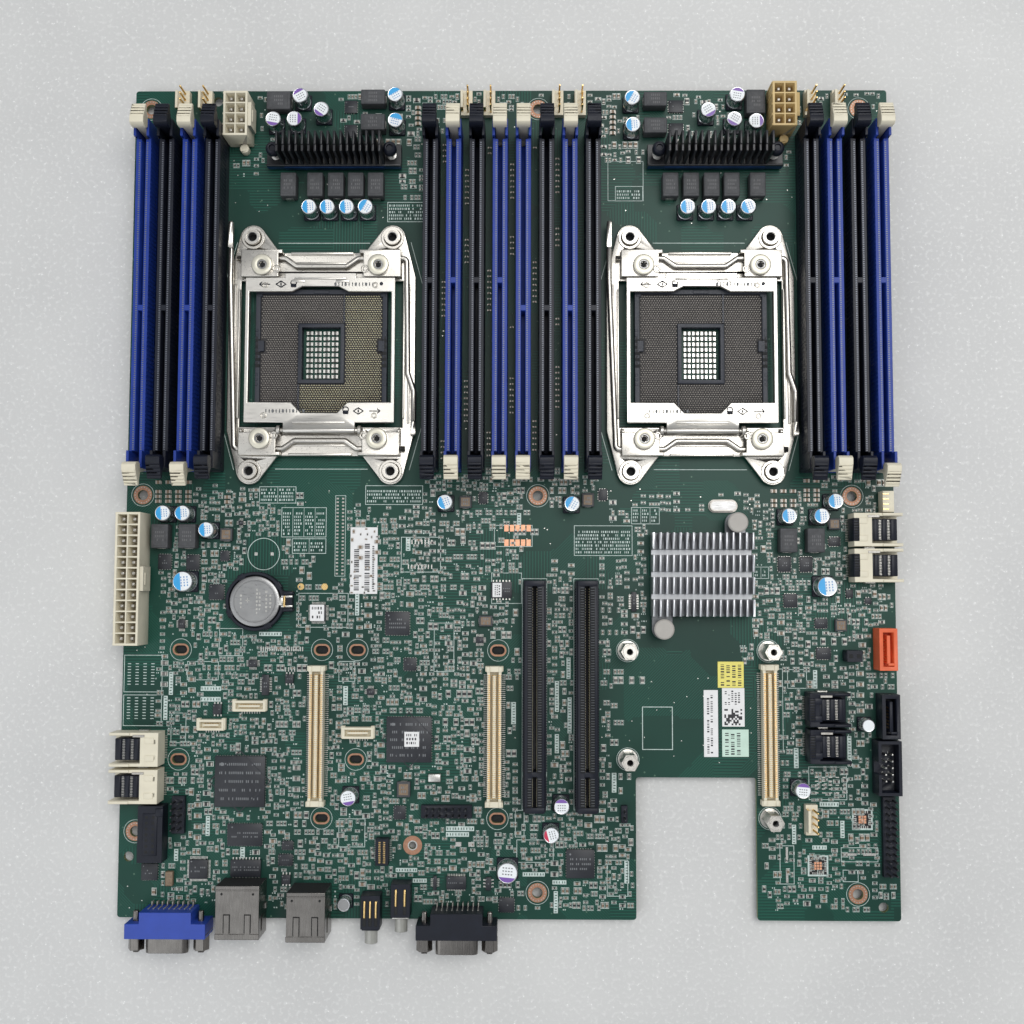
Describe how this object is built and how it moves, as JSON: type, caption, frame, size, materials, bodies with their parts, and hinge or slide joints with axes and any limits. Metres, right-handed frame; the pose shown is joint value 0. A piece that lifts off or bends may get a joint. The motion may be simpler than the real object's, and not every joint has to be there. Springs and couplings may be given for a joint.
{
  "type": "server motherboard",
  "caption": "Two-socket server motherboard: green board with memory slots, hinged latches, lever-locked sockets, riser slots, heat sinks, power headers and rear ports.",
  "frame": {"origin": "centre of the datum mounting hole at the rear edge, on the underside of the board", "axes": "+X to the right along the rear edge, +Y from the rear edge to the front edge, +Z out of the component side"},
  "size_m": [0.3072, 0.3409, 0.0282],
  "materials": {
    "solder_mask": "satin green solder mask",
    "blue_nylon": "moulded, satin",
    "black_nylon": "moulded, satin",
    "ivory_nylon": "moulded, satin",
    "grey_nylon": "moulded, satin",
    "socket_resin": "glass-filled resin",
    "bright_steel": "nickel plated",
    "cell_steel": "satin",
    "plain_aluminium": "milled",
    "black_anodised": "anodised",
    "can_aluminium": "drawn can",
    "grey_ferrite": "pressed powder",
    "chip_epoxy": "moulded epoxy"
  },
  "bodies": {
    "board": {"circuit_board": "solder_mask", "dimm_slots_blue": "blue_nylon", "dimm_slots_black": "black_nylon", "cpu_sockets": "socket_resin", "ilm_frames": "bright_steel", "backplates": "bright_steel", "screws_and_standoffs": "bright_steel", "coin_cell_holder": "black_nylon", "pcie_slots": "black_nylon", "power_headers": "ivory_nylon", "chipset_heatsink": "plain_aluminium", "vrm_heatsinks": "black_anodised", "push_pins": "grey_nylon", "mezzanine_connectors": "ivory_nylon", "capacitors": "can_aluminium", "chokes": "grey_ferrite", "ic_packages": "chip_epoxy", "mini_sas_ports": "ivory_nylon", "pin_headers": "ivory_nylon", "d_sub_ports": "blue_nylon", "rear_jacks": "bright_steel"},
    "latch_01_front": {"latch_01_front": "ivory_nylon"},
    "latch_01_rear": {"latch_01_rear": "ivory_nylon"},
    "latch_02_front": {"latch_02_front": "black_nylon"},
    "latch_02_rear": {"latch_02_rear": "black_nylon"},
    "latch_03_front": {"latch_03_front": "ivory_nylon"},
    "latch_03_rear": {"latch_03_rear": "ivory_nylon"},
    "latch_04_front": {"latch_04_front": "black_nylon"},
    "latch_04_rear": {"latch_04_rear": "black_nylon"},
    "latch_05_front": {"latch_05_front": "black_nylon"},
    "latch_05_rear": {"latch_05_rear": "black_nylon"},
    "latch_06_front": {"latch_06_front": "ivory_nylon"},
    "latch_06_rear": {"latch_06_rear": "ivory_nylon"},
    "latch_07_front": {"latch_07_front": "black_nylon"},
    "latch_07_rear": {"latch_07_rear": "black_nylon"},
    "latch_08_front": {"latch_08_front": "ivory_nylon"},
    "latch_08_rear": {"latch_08_rear": "ivory_nylon"},
    "latch_09_front": {"latch_09_front": "ivory_nylon"},
    "latch_09_rear": {"latch_09_rear": "ivory_nylon"},
    "latch_10_front": {"latch_10_front": "black_nylon"},
    "latch_10_rear": {"latch_10_rear": "black_nylon"},
    "latch_11_front": {"latch_11_front": "ivory_nylon"},
    "latch_11_rear": {"latch_11_rear": "ivory_nylon"},
    "latch_12_front": {"latch_12_front": "black_nylon"},
    "latch_12_rear": {"latch_12_rear": "black_nylon"},
    "latch_13_front": {"latch_13_front": "black_nylon"},
    "latch_13_rear": {"latch_13_rear": "black_nylon"},
    "latch_14_front": {"latch_14_front": "ivory_nylon"},
    "latch_14_rear": {"latch_14_rear": "ivory_nylon"},
    "latch_15_front": {"latch_15_front": "black_nylon"},
    "latch_15_rear": {"latch_15_rear": "black_nylon"},
    "latch_16_front": {"latch_16_front": "ivory_nylon"},
    "latch_16_rear": {"latch_16_rear": "ivory_nylon"},
    "load_plate_1": {"load_plate_1": "bright_steel"},
    "hinge_lever_1": {"hinge_lever_1": "bright_steel"},
    "lock_lever_1": {"lock_lever_1": "bright_steel"},
    "load_plate_2": {"load_plate_2": "bright_steel"},
    "hinge_lever_2": {"hinge_lever_2": "bright_steel"},
    "lock_lever_2": {"lock_lever_2": "bright_steel"},
    "coin_cell": {"coin_cell": "cell_steel"}
  },
  "joints": [
    {"name": "latch_01_front_swing", "type": "hinge", "parent": "board", "child": "latch_01_front", "pos_m": [-0.15573, 0.29924, 0.0066], "axis": [-1, 0, 0], "range_deg": [0, 28]},
    {"name": "latch_01_rear_swing", "type": "hinge", "parent": "board", "child": "latch_01_rear", "pos_m": [-0.15573, 0.16644, 0.0066], "axis": [1, 0, 0], "range_deg": [-9, 19]},
    {"name": "latch_02_front_swing", "type": "hinge", "parent": "board", "child": "latch_02_front", "pos_m": [-0.14659, 0.29924, 0.0066], "axis": [-1, 0, 0], "range_deg": [0, 28]},
    {"name": "latch_02_rear_swing", "type": "hinge", "parent": "board", "child": "latch_02_rear", "pos_m": [-0.14659, 0.16644, 0.0066], "axis": [1, 0, 0], "range_deg": [0, 28]},
    {"name": "latch_03_front_swing", "type": "hinge", "parent": "board", "child": "latch_03_front", "pos_m": [-0.13744, 0.29924, 0.0066], "axis": [-1, 0, 0], "range_deg": [0, 28]},
    {"name": "latch_03_rear_swing", "type": "hinge", "parent": "board", "child": "latch_03_rear", "pos_m": [-0.13744, 0.16644, 0.0066], "axis": [1, 0, 0], "range_deg": [-9, 19]},
    {"name": "latch_04_front_swing", "type": "hinge", "parent": "board", "child": "latch_04_front", "pos_m": [-0.1283, 0.29924, 0.0066], "axis": [-1, 0, 0], "range_deg": [0, 28]},
    {"name": "latch_04_rear_swing", "type": "hinge", "parent": "board", "child": "latch_04_rear", "pos_m": [-0.1283, 0.16644, 0.0066], "axis": [1, 0, 0], "range_deg": [0, 28]},
    {"name": "latch_05_front_swing", "type": "hinge", "parent": "board", "child": "latch_05_front", "pos_m": [-0.04253, 0.29924, 0.0066], "axis": [-1, 0, 0], "range_deg": [0, 28]},
    {"name": "latch_05_rear_swing", "type": "hinge", "parent": "board", "child": "latch_05_rear", "pos_m": [-0.04253, 0.16644, 0.0066], "axis": [1, 0, 0], "range_deg": [0, 28]},
    {"name": "latch_06_front_swing", "type": "hinge", "parent": "board", "child": "latch_06_front", "pos_m": [-0.03339, 0.29924, 0.0066], "axis": [-1, 0, 0], "range_deg": [0, 28]},
    {"name": "latch_06_rear_swing", "type": "hinge", "parent": "board", "child": "latch_06_rear", "pos_m": [-0.03339, 0.16644, 0.0066], "axis": [1, 0, 0], "range_deg": [0, 28]},
    {"name": "latch_07_front_swing", "type": "hinge", "parent": "board", "child": "latch_07_front", "pos_m": [-0.02424, 0.29924, 0.0066], "axis": [-1, 0, 0], "range_deg": [0, 28]},
    {"name": "latch_07_rear_swing", "type": "hinge", "parent": "board", "child": "latch_07_rear", "pos_m": [-0.02424, 0.16644, 0.0066], "axis": [1, 0, 0], "range_deg": [0, 28]},
    {"name": "latch_08_front_swing", "type": "hinge", "parent": "board", "child": "latch_08_front", "pos_m": [-0.0151, 0.29924, 0.0066], "axis": [-1, 0, 0], "range_deg": [0, 28]},
    {"name": "latch_08_rear_swing", "type": "hinge", "parent": "board", "child": "latch_08_rear", "pos_m": [-0.0151, 0.16644, 0.0066], "axis": [1, 0, 0], "range_deg": [0, 28]},
    {"name": "latch_09_front_swing", "type": "hinge", "parent": "board", "child": "latch_09_front", "pos_m": [-0.00595, 0.29924, 0.0066], "axis": [-1, 0, 0], "range_deg": [0, 28]},
    {"name": "latch_09_rear_swing", "type": "hinge", "parent": "board", "child": "latch_09_rear", "pos_m": [-0.00595, 0.16644, 0.0066], "axis": [1, 0, 0], "range_deg": [0, 28]},
    {"name": "latch_10_front_swing", "type": "hinge", "parent": "board", "child": "latch_10_front", "pos_m": [0.00319, 0.29924, 0.0066], "axis": [-1, 0, 0], "range_deg": [0, 28]},
    {"name": "latch_10_rear_swing", "type": "hinge", "parent": "board", "child": "latch_10_rear", "pos_m": [0.00319, 0.16644, 0.0066], "axis": [1, 0, 0], "range_deg": [0, 28]},
    {"name": "latch_11_front_swing", "type": "hinge", "parent": "board", "child": "latch_11_front", "pos_m": [0.01233, 0.29924, 0.0066], "axis": [-1, 0, 0], "range_deg": [0, 28]},
    {"name": "latch_11_rear_swing", "type": "hinge", "parent": "board", "child": "latch_11_rear", "pos_m": [0.01233, 0.16644, 0.0066], "axis": [1, 0, 0], "range_deg": [0, 28]},
    {"name": "latch_12_front_swing", "type": "hinge", "parent": "board", "child": "latch_12_front", "pos_m": [0.02148, 0.29924, 0.0066], "axis": [-1, 0, 0], "range_deg": [0, 28]},
    {"name": "latch_12_rear_swing", "type": "hinge", "parent": "board", "child": "latch_12_rear", "pos_m": [0.02148, 0.16644, 0.0066], "axis": [1, 0, 0], "range_deg": [0, 28]},
    {"name": "latch_13_front_swing", "type": "hinge", "parent": "board", "child": "latch_13_front", "pos_m": [0.10687, 0.29924, 0.0066], "axis": [-1, 0, 0], "range_deg": [0, 28]},
    {"name": "latch_13_rear_swing", "type": "hinge", "parent": "board", "child": "latch_13_rear", "pos_m": [0.10687, 0.16644, 0.0066], "axis": [1, 0, 0], "range_deg": [0, 28]},
    {"name": "latch_14_front_swing", "type": "hinge", "parent": "board", "child": "latch_14_front", "pos_m": [0.11601, 0.29924, 0.0066], "axis": [-1, 0, 0], "range_deg": [0, 28]},
    {"name": "latch_14_rear_swing", "type": "hinge", "parent": "board", "child": "latch_14_rear", "pos_m": [0.11601, 0.16644, 0.0066], "axis": [1, 0, 0], "range_deg": [0, 28]},
    {"name": "latch_15_front_swing", "type": "hinge", "parent": "board", "child": "latch_15_front", "pos_m": [0.12516, 0.29924, 0.0066], "axis": [-1, 0, 0], "range_deg": [0, 28]},
    {"name": "latch_15_rear_swing", "type": "hinge", "parent": "board", "child": "latch_15_rear", "pos_m": [0.12516, 0.16644, 0.0066], "axis": [1, 0, 0], "range_deg": [0, 28]},
    {"name": "latch_16_front_swing", "type": "hinge", "parent": "board", "child": "latch_16_front", "pos_m": [0.1343, 0.29924, 0.0066], "axis": [-1, 0, 0], "range_deg": [0, 28]},
    {"name": "latch_16_rear_swing", "type": "hinge", "parent": "board", "child": "latch_16_rear", "pos_m": [0.1343, 0.16644, 0.0066], "axis": [1, 0, 0], "range_deg": [-9, 19]},
    {"name": "load_plate_1_hinge", "type": "hinge", "parent": "board", "child": "load_plate_1", "pos_m": [-0.08633, 0.18004, 0.00905], "axis": [1, 0, 0], "range_deg": [0, 100]},
    {"name": "hinge_lever_1_turn", "type": "hinge", "parent": "board", "child": "hinge_lever_1", "pos_m": [-0.08633, 0.17304, 0.0068], "axis": [1, 0, 0], "range_deg": [0, 115]},
    {"name": "lock_lever_1_turn", "type": "hinge", "parent": "board", "child": "lock_lever_1", "pos_m": [-0.08633, 0.24944, 0.0068], "axis": [-1, 0, 0], "range_deg": [0, 115]},
    {"name": "load_plate_2_hinge", "type": "hinge", "parent": "board", "child": "load_plate_2", "pos_m": [0.06457, 0.18004, 0.00905], "axis": [1, 0, 0], "range_deg": [0, 100]},
    {"name": "hinge_lever_2_turn", "type": "hinge", "parent": "board", "child": "hinge_lever_2", "pos_m": [0.06457, 0.17304, 0.0068], "axis": [1, 0, 0], "range_deg": [0, 115]},
    {"name": "lock_lever_2_turn", "type": "hinge", "parent": "board", "child": "lock_lever_2", "pos_m": [0.06457, 0.24944, 0.0068], "axis": [-1, 0, 0], "range_deg": [0, 115]},
    {"name": "coin_cell_lift", "type": "slide", "parent": "board", "child": "coin_cell", "axis": [0, 0, 1], "range_m": [0, 0.012]}
  ]
}
